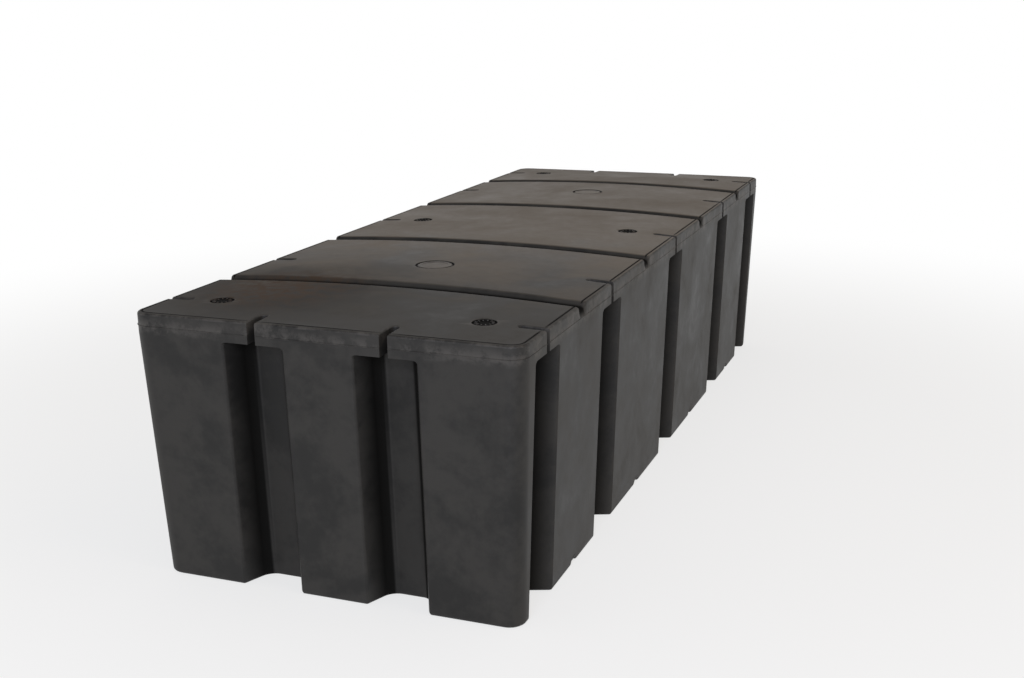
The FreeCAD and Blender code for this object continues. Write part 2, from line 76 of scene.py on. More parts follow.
# Share of the pale paint for painted highlights and some wear, where it is less than full
RIB_HIGHLIGHT = 0.7
SLOT_LIP_HIGHLIGHT = 0.6

# Share of painted shade in a flute
CORNER_PAINTED_SHADE = 0.95
BACK_PAINTED_SHADE = 0.12


# User settings


def length(name, text, value):
    return bpy.props.FloatProperty(
        name=name, description=text, default=value * MM, subtype="DISTANCE", unit="LENGTH",
        precision=5)


def linear(hex_colour):
    """A linear RGBA from a hex sRGB colour."""
    values = []
    for start in (1, 3, 5):
        value = int(hex_colour[start:start + 2], 16) / 255
        values.append(value / 12.92 if value <= 0.04045 else ((value + 0.055) / 1.055) ** 2.4)
    return (*values, 1.0)


def tint(name, text, hex_colour):
    return bpy.props.FloatVectorProperty(
        name=name, description=text, default=linear(hex_colour), size=4, subtype="COLOR",
        min=0.0, max=1.0)


class DrumSizes(bpy.types.PropertyGroup):
    """Sizes of the drum's moulding."""
    face_x: length("Half width", "Middle plane to the side flange face", 456.0)
    face_y: length("Half length", "Middle plane to the end flange face", 1218.0)
    rim: length("Rim height", "Foot to the deck's outer edge", 620.0)
    crown: length("Crown", "Rise of the deck's middle line", 14.8)
    flange: length("Flange depth", "Upright band around the deck", 48.0)
    corner: length("Corner radius", "Upright corners", 38.0)
    rim_round: length("Rim rounding", "Radius of the deck's outer edge", 6.0)
    foot_inset: length("Draft", "How far the foot stands in from the flange", 20.0)
    foot_round: length("Foot rounding", "Radius along the foot", 8.0)
    rib_drop: length("Rib drop", "Parting rib below the deck's edge", 29.0)
    rib_half: length("Half rib", "Half the width of the parting rib at the flange", 1.3)
    rib_proud: length("Rib height", "Parting rib out from the flange", 1.1)
    crease_inset: length("Crease inset", "Crease in from the deck's edge", 10.5)
    half_crease: length("Half crease", "Half the width of the crease", 2.0)
    crease_depth: length("Crease depth", "Depth of the crease", 2.9)


class FluteSizes(bpy.types.PropertyGroup):
    """Sizes of the upright flutes and of the slots above them."""
    mouth: length("Flute mouth", "Width at the wall", 146.0)
    back: length("Flute back", "Width at the back, between sharp corners", 92.0)
    depth: length("Flute depth", "Wall to back", 70.0)
    back_round: length("Back rounding", "Radius of the back corners", 30.0)
    mouth_round: length("Mouth rounding", "Radius of the mouth's edges", 12.0)
    top_round: length("Top rounding", "Radius under the flange", 9.0)
    slot: length("Slot width", "Width of the open slot", 19.0)
    reach: length("Slot reach", "Flange face to the slot's inner end", 65.0)
    lip: length("Slot lip", "Rounding of the slot's upper edge", 3.6)


class GrooveSizes(bpy.types.PropertyGroup):
    """Sizes of the strap grooves across deck and foot."""
    inner: length("Inner groove", "Middle plane to the inner grooves", 308.5)
    outer: length("Outer groove", "Middle plane to the outer grooves", 844.5)
    half: length("Half groove", "Half the width in the deck", 30.0)
    floor: length("Half floor", "Half the width of the level floor in the deck", 9.0)
    depth: length("Groove depth", "Depth in the deck", 13.0)
    notch: length("Edge notch", "How far a groove bites into the flange face", 8.0)
    notch_run: length("Notch run", "How far in from the side the bite fades out", 60.0)
    foot_half: length("Half foot groove", "Half the width in the foot", 24.0)
    foot_floor: length("Half foot floor", "Half the width of the level floor in the foot", 12.0)
    foot_depth: length("Foot groove depth", "Depth in the foot", 10.5)


class RecessSizes(bpy.types.PropertyGroup):
    """Sizes that all plug recesses share."""
    depth: length("Recess depth", "Deck to recess floor", 5.0)
    bend: length("Recess bend", "Rounding between floor and wall", 1.0)
    lip: length("Recess lip", "Rounding of the recess edge", 1.6)


class LargePlugSizes(bpy.types.PropertyGroup):
    """Sizes of the large plugs, whose webs reach out into the ring groove."""
    recess: length("Recess", "Diameter", 96.0)
    head: length("Head", "Diameter", 84.0)
    thick: length("Head thickness", "Underside to upper face", 4.2)
    stand: length("Plug height", "Underside of the head to the top", 4.4)
    # Depth painted pale for highlight and wear; below it the plug gets painted shade
    highlight_depth: length("Worn depth", "How far down from the top it is rubbed", 2.0)
    rib_in: length("Web start", "In from the head's edge", 1.5)
    rib_out: length("Web end", "Out from the head's edge", 3.6)
    rib_low: length("Web underside", "Up from the head's underside", 0.2)
    rib_high: length("Web top", "Up from the head's underside", 3.2)
    ribs: bpy.props.IntProperty(name="Webs", description="Number of webs", default=24)


class SmallPlugSizes(bpy.types.PropertyGroup):
    """Sizes of the small plugs, whose drive ribs stand on the head."""
    recess: length("Recess", "Diameter", 54.0)
    head: length("Head", "Diameter", 46.0)
    thick: length("Head thickness", "Underside to upper face", 2.6)
    stand: length("Plug height", "Underside of the head to the top", 4.2)
    # Depth painted pale for highlight and wear; below it the plug gets painted shade
    highlight_depth: length("Worn depth", "How far down from the top it is rubbed", 0.9)
    rib_in: length("Rib start", "In from the head's edge", 7.5)
    rib_out: length("Rib end", "Out from the head's edge", -1.5)
    rib_low: length("Rib underside", "Up from the head's underside", 2.0)
    rib_high: length("Rib top", "Up from the head's underside", 4.2)
    ribs: bpy.props.IntProperty(name="Ribs", description="Number of drive ribs", default=12)


class DrumColours(bpy.types.PropertyGroup):
    """Colours of the skin, of what lies on it, and of the painted highlights and shade."""
    skin: tint("Skin", "Black polyethylene of the shell", "#171615")
    skin_pale: tint("Pale skin", "Clouds in the shell's skin", "#312F2C")
    plug: tint("Plug", "Black polyethylene of the plugs", "#1B1A19")
    plug_pale: tint("Pale plug", "Clouds in the plugs' skin", "#282624")
    # Pale colour of the painted edge highlights, partly wear
    rubbed: tint("Rubbed", "Edges rubbed pale", "#4A4743")
    # Pale deck colour: dust, and also a painted reflection brightening the far deck
    dust_and_reflection: tint("Dust", "Dust on the deck", "#6E655A")
    rust: tint("Rust", "Stain beside the near left plug", "#3F2C19")
    # Near-black colour of the painted shade in grooves, crease, recesses and flutes
    painted_shade: tint("Film", "Dark film in grooves and recesses", "#0B0A08")


# Selecting and cutting


def rest_in_object_mode():
    """Object mode with nothing selected."""
    if bpy.context.object is not None and bpy.context.object.mode != "OBJECT":
        bpy.ops.object.mode_set(mode="OBJECT")
    bpy.ops.object.select_all(action="DESELECT")


def enter(piece, mode):
    """Only this piece selected and active, in the given mode."""
    rest_in_object_mode()
    piece.select_set(True)
    bpy.context.view_layer.objects.active = piece
    bpy.ops.object.mode_set(mode=mode)


def pick(piece, domain, test):
    """Edit mode with only those vertices, edges or polygons selected whose corners pass.
    Returns how many there are."""
    enter(piece, "OBJECT")
    mesh = piece.data
    for group in (mesh.vertices, mesh.edges, mesh.polygons):
        group.foreach_set("select", [False] * len(group))
    points = [vertex.co.copy() for vertex in mesh.vertices]
    count = 0
    for item in getattr(mesh, domain):
        if domain == "vertices":
            corners = [points[item.index]]
        else:
            corners = [points[index] for index in item.vertices]
        if test(corners):
            item.select = True
            count += 1
    kinds = (domain == "vertices", domain == "edges", domain == "polygons")
    bpy.context.tool_settings.mesh_select_mode = kinds
    bpy.ops.object.mode_set(mode="EDIT")
    return count


def pick_points(piece, test):
    pick(piece, "vertices", lambda corners: test(corners[0]))


def pick_all(piece):
    enter(piece, "EDIT")
    bpy.ops.mesh.select_all(action="SELECT")


def pick_sharp_edges(piece, degrees, test):
    """Edit mode with the sharp edges selected whose two ends both pass."""
    enter(piece, "EDIT")
    bpy.context.tool_settings.mesh_select_mode = (False, True, False)
    bpy.ops.mesh.select_all(action="DESELECT")
    bpy.ops.mesh.edges_select_sharp(sharpness=math.radians(degrees))
    enter(piece, "OBJECT")
    mesh = piece.data
    points = [vertex.co.copy() for vertex in mesh.vertices]
    sharp = {edge.index for edge in mesh.edges if edge.select}
    for group in (mesh.vertices, mesh.polygons):
        group.foreach_set("select", [False] * len(group))
    for edge in mesh.edges:
        ends = [points[index] for index in edge.vertices]
        edge.select = edge.index in sharp and test(ends)
    bpy.context.tool_settings.mesh_select_mode = (False, True, False)
    bpy.ops.object.mode_set(mode="EDIT")


def everywhere(corners):
    return True


def cut(piece, test, point, normal):
    """A plane cuts the polygons that pass."""
    if pick(piece, "polygons", test):
        bpy.ops.mesh.bisect(plane_co=point, plane_no=normal, use_fill=False)


def move(x=0.0, y=0.0, z=0.0):
    bpy.ops.transform.translate(value=(x, y, z))


def resize(x, y, z, about=(0.0, 0.0, 0.0)):
    bpy.ops.transform.resize(value=(x, y, z), center_override=about)


def round_picked(radius, segments, share=1.0):
    """Rounds the picked edges. The share turns a radius into the width that gives it at
    edges that aren't square."""
    result = bpy.ops.mesh.bevel(offset=radius * share, offset_type="OFFSET", segments=segments,
                                profile=0.5, affect="EDGES", clamp_overlap=False)
    if "FINISHED" not in result:
        raise RuntimeError("no edge was picked to round")


def new_piece(name):
    piece = bpy.context.object
    piece.name = name
    piece.data.name = name
    return piece


def discard(piece):
    rest_in_object_mode()
    piece.select_set(True)
    bpy.ops.object.delete()


def subtract(piece, tool):
    """Cuts the tool out of the piece and removes the tool."""
    before = len(piece.data.polygons)
    enter(piece, "OBJECT")
    change = piece.modifiers.new("cut", "BOOLEAN")
    change.operation = "DIFFERENCE"
    change.solver = "EXACT"
    change.object = tool
    bpy.ops.object.modifier_apply(modifier=change.name)
    if len(piece.data.polygons) <= before:
        raise RuntimeError(f"{tool.name} cut nothing out of {piece.name}")
    discard(tool)


def join(pieces, name):
    enter(pieces[0], "OBJECT")
    for piece in pieces:
        piece.select_set(True)
    bpy.ops.object.join()
    return new_piece(name)


def settle(piece):
    """Place and turn go into the mesh, so the object stays at the origin."""
    enter(piece, "OBJECT")
    bpy.ops.object.transform_apply(location=True, rotation=True, scale=True)


def ease(value):
    """0 to 1 along a smooth S, flat at both ends."""
    value = max(0.0, min(1.0, value))
    return value * value * (3 - 2 * value)


# Places on the drum


def plan_inset(point, sizes):
    """How far a point stands in from the flange's rounded rectangle."""
    across = abs(point.x) - (sizes.face_x - sizes.corner)
    along = abs(point.y) - (sizes.face_y - sizes.corner)
    if across > 0 and along > 0:
        return sizes.corner - math.hypot(across, along)
    return min(sizes.face_x - abs(point.x), sizes.face_y - abs(point.y))


def groove_offset(y, grooves):
    """Distance along the drum to the nearest strap groove."""
    return min(abs(abs(y) - grooves.inner), abs(abs(y) - grooves.outer))


def groove_share(distance, half, floor):
    """Share of a groove's depth at this distance from its middle."""
    return 1.0 - ease((distance - floor) / (half - floor))


def slot_distance(point, sizes):
    """Distance in plan to the nearest slot's middle line, for points near the rim."""
    rim_band = 80 * MM
    distances = [1.0]
    if sizes.face_x - abs(point.x) < rim_band:
        distances += [abs(point.y - y * MM) for y in SIDE_SLOTS]
    if sizes.face_y - abs(point.y) < rim_band:
        distances += [abs(point.x - x * MM) for x in END_SLOTS]
    return min(distances)


def slot_edge(point, sizes, flutes):
    """Distance in plan from the nearest slot's outline, less than zero inside it."""
    radius = flutes.slot / 2
    spots = [(sizes.face_x - abs(point.x), point.y - y * MM) for y in SIDE_SLOTS]
    spots += [(sizes.face_y - abs(point.y), point.x - x * MM) for x in END_SLOTS]
    return min(math.hypot(max(0.0, inset - (flutes.reach - radius)), across)
               for inset, across in spots) - radius


def crown_share(y, sizes):
    """Share of the full crown, which rises from the straight ends in steps."""
    inset = sizes.face_y + sizes.rib_proud - abs(y)
    for near, far in zip(CROWN_STATIONS, CROWN_STATIONS[1:]):
        if inset < far[0] * MM:
            part = (inset / MM - near[0]) / (far[0] - near[0])
            return near[1] + (far[1] - near[1]) * max(0.0, part)
    return CROWN_STATIONS[-1][1]


def crown_rise(point, sizes):
    """How far the crown lifts the deck at this place."""
    bow = 1 - (point.x / (sizes.face_x + sizes.rib_proud)) ** 2
    return sizes.crown * max(0.0, bow) * crown_share(point.y, sizes)


def plug_sizes(node):
    """The sizes of this plug's kind."""
    scene = bpy.context.scene
    return scene.drum_large_plugs if node.startswith("large") else scene.drum_small_plugs


def plug_middle(node):
    """Middle of a plug in plan."""
    low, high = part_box(node)
    return (low[0] + high[0]) / 2, (low[1] + high[1]) / 2


def recess_spots():
    """Middle and radius of every recess."""
    return [(*plug_middle(node), plug_sizes(node).recess / 2) for node in PLUG_NODES]


# Drum shell


def start_block(sizes):
    """A box with rounded upright corners whose foot stands in by the draft."""
    bpy.ops.mesh.primitive_cube_add(size=1.0)
    shell = new_piece("shell_moulding")
    pick_all(shell)
    resize(2 * sizes.face_x, 2 * sizes.face_y, sizes.rim)
    move(z=sizes.rim / 2)
    pick(shell, "edges", lambda ends: abs(ends[0].z - ends[1].z) > sizes.rim / 2)
    round_picked(sizes.corner, segments=8)
    cut(shell, everywhere, (0, 0, sizes.rim - sizes.flange), (0, 0, 1))
    for x_side, y_side in ((1, 0), (-1, 0), (0, 1), (0, -1)):
        pick_points(shell, lambda p: p.z < MM and (p.x * x_side > MM or p.y * y_side > MM))
        move(-x_side * sizes.foot_inset, -y_side * sizes.foot_inset)
    return shell


def raise_rib(shell, sizes):
    """The parting rib around the flange, its crest narrower than its foot."""
    crest = 0.45
    rib = sizes.rim - sizes.rib_drop
    for height in (rib - sizes.rib_half, rib + sizes.rib_half):
        cut(shell, everywhere, (0, 0, height), (0, 0, 1))
    low = rib - sizes.rib_half - NEAR
    high = rib + sizes.rib_half + NEAR
    pick(shell, "polygons", lambda corners: all(low < p.z < high for p in corners))
    bpy.ops.mesh.extrude_region_move()
    grow_x = (sizes.face_x + sizes.rib_proud) / sizes.face_x
    grow_y = (sizes.face_y + sizes.rib_proud) / sizes.face_y
    resize(grow_x, grow_y, crest, (0, 0, rib))


def line_deck(shell, sizes, grooves):
    """The crease's loops, then the deck's lines along and across."""
    top = sizes.rim - NEAR

    def on_deck(corners):
        return all(p.z > top for p in corners)

    def on_band(corners):
        return all(p.z > sizes.rim - sizes.rib_drop + MM for p in corners)

    pick(shell, "polygons", on_deck)
    half = sizes.half_crease
    for thickness in (sizes.crease_inset - half, half, half, half):
        bpy.ops.mesh.inset(thickness=thickness, depth=0, use_even_offset=True)

    long_lines = 16
    line_gap = 57.15 * MM
    for step in range(long_lines):
        cut(shell, on_deck, ((step - (long_lines - 1) / 2) * line_gap, 0, 0), (1, 0, 0))

    lines = {round(middle + sign * step * MM, 5)
             for middle in (grooves.inner, grooves.outer)
             for step in DECK_GROOVE_LINES for sign in (1, -1)}
    for y in sorted(lines) + [-y for y in sorted(lines)]:
        cut(shell, on_band, (0, y, 0), (0, 1, 0))

    # The shift keeps these lines off the middles of the slots
    cross_gap = 74 * MM
    shift = 6 * MM
    clear_of_groove = 45 * MM
    for step in range(-16, 17):
        y = step * cross_gap + shift
        if groove_offset(y, grooves) > clear_of_groove:
            cut(shell, on_deck, (0, y, 0), (0, 1, 0))


def press_grooves(shell, sizes, grooves):
    """Strap grooves sink into the deck and bite into the flange's face; the
    crease sinks between slots and grooves. Vertices are moved one by one,
    since no operator follows these run-outs."""
    slot_margin = 14 * MM
    crease_run = 6 * MM
    enter(shell, "OBJECT")
    for vertex in shell.data.vertices:
        point = vertex.co
        if point.z < sizes.rim - NEAR:
            continue
        inset = plan_inset(point, sizes)
        share = groove_share(groove_offset(point.y, grooves), grooves.half, grooves.floor)
        if abs(inset - sizes.crease_inset) < 4 * NEAR:
            clear = slot_distance(point, sizes) - slot_margin
            point.z -= sizes.crease_depth * ease(clear / crease_run) * (1 - share)
        if share <= 0:
            continue
        point.z -= grooves.depth * share
        side = sizes.face_x - abs(point.x)
        bite = grooves.notch * share * max(0.0, 1 - side / grooves.notch_run)
        point.x -= math.copysign(bite, point.x)


def round_rim(shell, sizes):
    """Rounds the deck's outer edge, notches included."""
    lowest = sizes.rim - 14 * MM
    widest = 8.2 * MM

    def along_rim(ends):
        if not all(p.z > lowest and plan_inset(p, sizes) < widest for p in ends):
            return False
        # Groove lines run across the rim and stay as they are
        return abs(ends[0].y - ends[1].y) > 1e-6 or abs(ends[0].y) > sizes.face_y - sizes.corner

    pick_sharp_edges(shell, 40, along_rim)
    round_picked(sizes.rim_round, segments=4)


def line_foot(shell, sizes, grooves):
    """Strap grooves across the foot."""
    band = 14 * MM
    wall_top = sizes.rim - sizes.flange + MM
    cut(shell, lambda corners: all(p.z < wall_top for p in corners), (0, 0, band), (0, 0, 1))
    for middle in (-grooves.outer, -grooves.inner, grooves.inner, grooves.outer):
        for step in sorted({sign * line for line in FOOT_GROOVE_LINES for sign in (1, -1)}):
            cut(shell, lambda corners: all(p.z < band + NEAR for p in corners),
                (0, middle + step * MM, 0), (0, 1, 0))
    enter(shell, "OBJECT")
    for vertex in shell.data.vertices:
        if vertex.co.z < NEAR:
            share = groove_share(groove_offset(vertex.co.y, grooves),
                                 grooves.foot_half, grooves.foot_floor)
            vertex.co.z += grooves.foot_depth * share


def flute_tool(sizes, flutes):
    """One flute as a solid: mouth at X = 0, cut toward -X, leaning with the draft."""
    top = sizes.rim - sizes.flange
    low = -20 * MM
    # Outside the wall the tool flares, so that wall and rounding meet at a slight angle
    flare = 20 * MM
    past_flange = 30 * MM
    lip = math.radians(12)
    bpy.ops.mesh.primitive_cube_add(size=1.0)
    tool = new_piece("flute_tool")
    pick_all(tool)
    resize(flutes.depth, flutes.mouth, top - low)
    move(-flutes.depth / 2, 0, (top + low) / 2)
    pick_points(tool, lambda p: p.x < -flutes.depth / 2)
    resize(1, flutes.back / flutes.mouth, 1)
    pick(tool, "polygons", lambda corners: all(abs(p.x) < MM for p in corners))
    bpy.ops.mesh.extrude_region_move()
    move(flare * math.tan(lip))
    resize(1, (flutes.mouth / 2 + flare) / (flutes.mouth / 2), 1)
    bpy.ops.mesh.extrude_region_move()
    move(past_flange)
    # Level top and bottom become one polygon each, so roundings run true
    bpy.ops.mesh.select_all(action="SELECT")
    bpy.ops.mesh.dissolve_limited(angle_limit=math.radians(1))
    slant = math.atan((flutes.mouth - flutes.back) / 2 / flutes.depth)

    def upright_at(x, half):
        def test(ends):
            return all(abs(p.x - x) < MM and abs(abs(p.y) - half) < MM for p in ends) \
                and abs(ends[0].z - ends[1].z) > top / 2
        return test

    pick(tool, "edges", upright_at(-flutes.depth, flutes.back / 2))
    round_picked(flutes.back_round, 7, math.tan((math.pi / 2 - slant) / 2))
    pick(tool, "edges", upright_at(0, flutes.mouth / 2))
    round_picked(flutes.mouth_round, 5, math.tan((math.pi / 2 - slant - lip) / 2))
    pick(tool, "edges", lambda ends: all(p.z > top - MM for p in ends))
    round_picked(flutes.top_round, segments=4)
    pick_points(tool, lambda p: p.z < low + MM)
    move(sizes.foot_inset * (low - top) / top)
    return tool


def slot_tool(sizes, flutes):
    """One slot as an upright solid with a round inner end and a rounded lip."""
    radius = flutes.slot / 2
    low = sizes.rim - sizes.flange - 22 * MM
    lip_low = sizes.rim - flutes.lip
    past_flange = 30 * MM
    bpy.ops.mesh.primitive_cylinder_add(vertices=32, radius=radius, depth=1.0)
    tool = new_piece("slot_tool")
    pick_all(tool)
    resize(1, 1, lip_low - low)
    centre_x = -flutes.reach + radius
    move(centre_x, 0, (lip_low + low) / 2)
    pick_points(tool, lambda p: p.x > centre_x + NEAR)
    move(flutes.reach + past_flange)
    # Rise and spread of each step as shares of the lip; the last runs out over the deck
    for rise, spread in ((0.55, 0.16), (0.3, 0.28), (0.15, 0.56), (6.0, 6.0)):
        pick_top(tool)
        bpy.ops.mesh.extrude_region_move()
        move(z=flutes.lip * rise)
        widen(tool, flutes.lip * spread, centre_x)
    return tool


def pick_top(tool):
    """Edit mode with the topmost polygon selected. Returns its height."""
    enter(tool, "OBJECT")
    top = max(vertex.co.z for vertex in tool.data.vertices)
    pick(tool, "polygons", lambda corners: all(p.z > top - 0.001 * MM for p in corners))
    return top


def widen(tool, amount, centre_x):
    """Moves the picked loop out from the slot's middle line."""
    bpy.ops.object.mode_set(mode="OBJECT")
    for vertex in tool.data.vertices:
        if not vertex.select:
            continue
        point = vertex.co
        middle_x = point.x if point.x > centre_x + NEAR else centre_x
        away = Vector((point.x - middle_x, point.y, 0))
        if away.length > 0:
            vertex.co += away.normalized() * amount
    bpy.ops.object.mode_set(mode="EDIT")


def place_around(tool, sizes, name):
    """Copies of a tool at every slot of the sides and ends, joined."""
    spots = []
    for y in SIDE_SLOTS:
        spots.append((sizes.face_x, y * MM, 0))
        spots.append((-sizes.face_x, y * MM, 180))
    for x in END_SLOTS:
        spots.append((x * MM, sizes.face_y, 90))
        spots.append((x * MM, -sizes.face_y, -90))
    copies = []
    for x, y, turn in spots:
        enter(tool, "OBJECT")
        bpy.ops.object.duplicate()
        copy = bpy.context.object
        bpy.ops.transform.rotate(value=-math.radians(turn), orient_axis="Z",
                                 center_override=(0, 0, 0))
        move(x, y)
        settle(copy)
        copies.append(copy)
    discard(tool)
    return join(copies, name)


def round_foot(shell, sizes, grooves):
    """Rounds the foot's edge, through all the flutes in one line."""
    highest = grooves.foot_depth + 0.3 * MM

    def along_foot(ends):
        if not all(p.z < highest for p in ends):
            return False
        in_groove = all(groove_offset(p.y, grooves) < grooves.foot_half + MM for p in ends)
        return not (in_groove and abs(ends[0].y - ends[1].y) < 2 * NEAR)

    pick_sharp_edges(shell, 45, along_foot)
    round_picked(sizes.foot_round, segments=4)
    # Its inner row folds over itself by 1.7 mm at the flutes' mouths; merging unfolds it
    pick_points(shell, lambda p: p.z < 0.01 * MM)
    bpy.ops.mesh.remove_doubles(threshold=1.8 * MM)


def raise_crown(shell, sizes):
    """Raises the deck; an S-shaped run-out at the ends has no operator."""
    enter(shell, "OBJECT")
    low = sizes.rim - 20 * MM
    for vertex in shell.data.vertices:
        point = vertex.co
        if point.z > low and plan_inset(point, sizes) > -MM:
            point.z += crown_rise(point, sizes)


def recess_tool(x, y, deck, radius, recesses):
    """A turned cutter: flat floor, small bend, upright wall and rounded lip."""
    floor = deck - recesses.depth
    bend = recesses.bend
    lip = recesses.lip
    bpy.ops.mesh.primitive_cylinder_add(vertices=64, radius=radius - bend, depth=1.0)
    tool = new_piece("recess_tool")
    pick_all(tool)
    # A thin disc to start from, on the recess floor
    resize(1, 1, NEAR)
    move(z=floor + NEAR / 2)
    outline = (
        (radius - bend * 0.3, floor + bend * 0.3),
        (radius, floor + bend),
        (radius, deck - lip * 1.2),
        (radius + lip * 0.3, deck - lip * 0.5),
        (radius + lip, deck),
        (radius + lip * 4.5, deck + lip * 0.75),
        (radius + lip * 4.5, deck + 12 * MM),
    )
    last = radius - bend
    for wide, high in outline:
        ceiling = pick_top(tool)
        bpy.ops.mesh.extrude_region_move()
        move(z=high - ceiling)
        resize(wide / last, wide / last, 1)
        last = wide
    bpy.ops.mesh.select_all(action="SELECT")
    move(x, y)
    return tool


def cut_recesses(shell, sizes, recesses):
    for x, y, radius in recess_spots():
        deck = sizes.rim + crown_rise(Vector((x, y, 0)), sizes)
        subtract(shell, recess_tool(x, y, deck, radius, recesses))


def rubbed(point, sizes, flutes, recesses, spots):
    """Share of the pale paint for painted highlights and some wear: full on the deck's rounded
    edge, the band below it and the recess lips, less on the rib and the slot lips."""
    drop = sizes.rim - (point.z - crown_rise(point, sizes))
    inset = plan_inset(point, sizes)
    edge = sizes.rim_round
    if -MM < inset < edge and -NEAR < drop < edge:
        return math.sin(2 * math.atan2(edge - drop, edge - inset)) ** 0.5
    if inset < -0.5 * sizes.rib_proud and abs(point.z - sizes.rim + sizes.rib_drop) < MM:
        return RIB_HIGHLIGHT
    if inset < 0.5 * MM and edge <= drop < sizes.rib_drop + 1.5 * MM:
        return 1.0
    if drop < flutes.lip and 0 < slot_edge(point, sizes, flutes) < flutes.lip * 0.9:
        return SLOT_LIP_HIGHLIGHT
    for x, y, radius in spots:
        away = math.hypot(point.x - x, point.y - y) - radius
        if drop < recesses.lip and 0 < away < recesses.lip * 1.1:
            return 1.0
    return 0.0


def flute_painted_shade(deep, flutes):
    """Painted shade in a flute: most in the back corners, less on the flat back."""
    clean = 6 * MM
    run = 30 * MM
    if deep > flutes.depth - 2 * MM:
        return BACK_PAINTED_SHADE
    return CORNER_PAINTED_SHADE * ease((deep - clean) / run)


def painted_shade_at(point, sizes, flutes, grooves, recesses, spots):
    """Share of painted shade, dark where shade falls: strap grooves, the crease away from the
    slots, the recesses and the flutes.
    """
    groove_band = 20 * MM
    crease_band = 5 * MM
    slot_margin = 14 * MM
    inset = plan_inset(point, sizes)
    wall = sizes.rim - sizes.flange
    if point.z < wall + NEAR:
        return flute_painted_shade(inset - sizes.foot_inset * (1 - point.z / wall), flutes)
    drop = sizes.rim - (point.z - crown_rise(point, sizes))
    painted_shade = 0.0
    if drop < groove_band and inset > -2 * grooves.notch:
        share = groove_share(groove_offset(point.y, grooves), grooves.half, grooves.floor)
        painted_shade = ease((share - 0.5) / 0.3)
    if drop < crease_band and slot_edge(point, sizes, flutes) > slot_margin:
        off = abs(inset - sizes.crease_inset) / sizes.half_crease
        painted_shade = max(painted_shade, 1 - 0.5 * off if off < 1.1 else 0.0)
    for x, y, radius in spots:
        if drop > recesses.lip and math.hypot(point.x - x, point.y - y) < radius + 2 * NEAR:
            painted_shade = 1.0
    return painted_shade


def paint(piece, name, share):
    """Writes a share from 0 to 1 to every vertex, for the material to read."""
    enter(piece, "OBJECT")
    layer = piece.data.attributes.new(name, "FLOAT", "POINT")
    layer.data.foreach_set("value", [share(vertex.co) for vertex in piece.data.vertices])


def smooth(piece):
    """Smooth faces with area-weighted normals, sharp past 34 degrees."""
    enter(piece, "OBJECT")
    bpy.ops.object.shade_smooth_by_angle(angle=math.radians(34))
    change = piece.modifiers.new("normals", "WEIGHTED_NORMAL")
    change.keep_sharp = True
    change.weight = 60
    bpy.ops.object.modifier_apply(modifier=change.name)


# Plugs


def plug_piece(node):
    """A turned head on the recess floor, with its ring of webs or drive ribs."""
    plugs = plug_sizes(node)
    radius = plugs.head / 2
    x, y = plug_middle(node)
    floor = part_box(node)[1][2] - plugs.stand
    bpy.ops.mesh.primitive_cylinder_add(vertices=64, radius=radius, depth=plugs.thick)
    disc = new_piece(f"{node}_head")
    pick_all(disc)
    move(z=plugs.thick / 2)
    pick(disc, "edges", lambda ends: all(p.z > plugs.thick - NEAR for p in ends))
    round_picked(1.2 * MM, segments=3)
    pick(disc, "polygons", lambda corners: all(p.z > plugs.thick - NEAR for p in corners))
    # A flat rim, a step down of 0.7 mm, then a slight rise toward the middle
    bpy.ops.mesh.inset(thickness=radius * 0.18, depth=0)
    bpy.ops.mesh.inset(thickness=1.0 * MM, depth=-0.7 * MM)
    bpy.ops.mesh.inset(thickness=radius * 0.3, depth=0.25 * MM)
    enter(disc, "OBJECT")
    pieces = [disc]
    for step in range(plugs.ribs):
        pieces.append(plug_rib(2 * math.pi * step / plugs.ribs, plugs))
    plug = join(pieces, f"{node}_moulding")
    pick_all(plug)
    move(x, y, floor)
    settle(plug)
    return plug


def plug_rib(turn, plugs):
    """A web out into the ring groove, or a raised drive rib."""
    wide = 2.4 * MM
    near = plugs.head / 2 - plugs.rib_in
    far = plugs.head / 2 + plugs.rib_out
    bpy.ops.mesh.primitive_cube_add(size=1.0)
    rib = new_piece("plug_rib")
    pick_all(rib)
    resize(far - near, wide, plugs.rib_high - plugs.rib_low)
    move((near + far) / 2, 0, (plugs.rib_low + plugs.rib_high) / 2)
    pick(rib, "edges", lambda ends: all(p.z > plugs.rib_high - 0.01 * MM for p in ends))
    round_picked(0.5 * MM, segments=2)
    bpy.ops.mesh.select_all(action="SELECT")
    bpy.ops.transform.rotate(value=-turn, orient_axis="Z", center_override=(0, 0, 0))
    enter(rib, "OBJECT")
    return rib


# Moulded polyethylene


def add_node(tree, kind, values=None, links=None, **settings):
    """Adds a node, sets its properties and input values, and links its inputs."""
    node = tree.nodes.new(kind)
    for name, value in settings.items():
        setattr(node, name, value)
    for name, value in (values or {}).items():
        node.inputs[name].default_value = value
    for name, source in (links or {}).items():
        tree.links.new(source, node.inputs[name])
    return node


def new_material(name):
    material = bpy.data.materials.new(name)
    material.use_nodes = True
    tree = material.node_tree
    tree.nodes.clear()
    output = add_node(tree, "ShaderNodeOutputMaterial")
    shader = add_node(tree, "ShaderNodeBsdfPrincipled")
    tree.links.new(shader.outputs["BSDF"], output.inputs["Surface"])
    return material, tree, shader


def per_metre(size):
    """Noise scale for patches about this many millimetres across."""
    return 1000 / size


